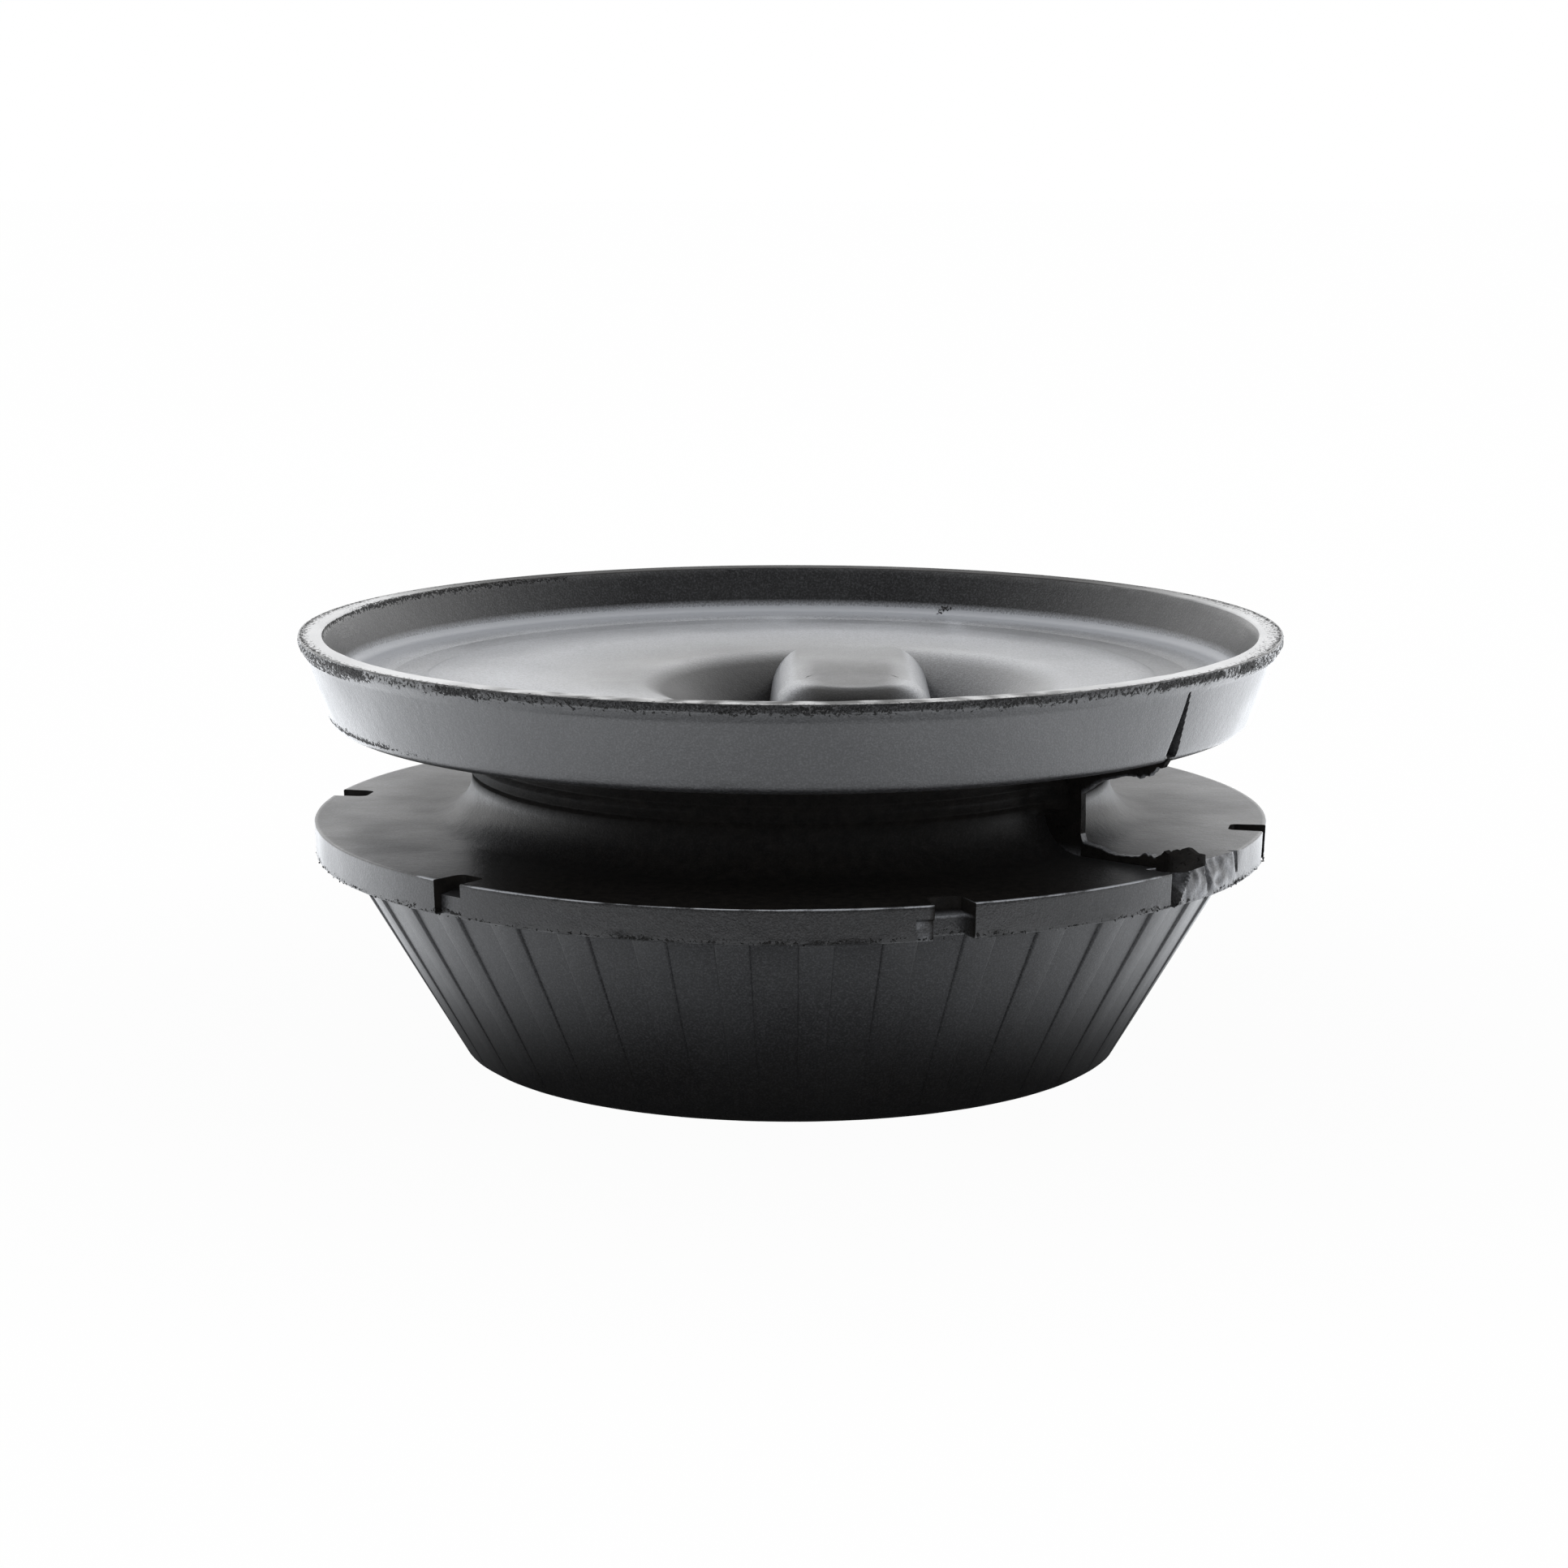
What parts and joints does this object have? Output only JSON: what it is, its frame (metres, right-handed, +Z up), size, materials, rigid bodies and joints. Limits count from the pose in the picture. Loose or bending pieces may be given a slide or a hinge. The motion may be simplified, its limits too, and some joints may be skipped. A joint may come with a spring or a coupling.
{
  "type": "shock absorber mount",
  "caption": "Round moulded rubber strut mount: open dish over a neck groove, a notched flange and a ribbed cone base, with torn flash at its mould parting line.",
  "frame": {"origin": "centre of the round base, on the plane that the part rests on", "axes": "+Z up along the axis of the neck and flange, from the base to the open dish; -Y is the front, +X is the side towards which the hub in the dish is offset"},
  "size_m": [0.12, 0.12, 0.0519],
  "materials": {
    "rubber": "satin black moulded rubber"
  },
  "bodies": {
    "root": {"mount_body": "rubber"}
  },
  "joints": []
}
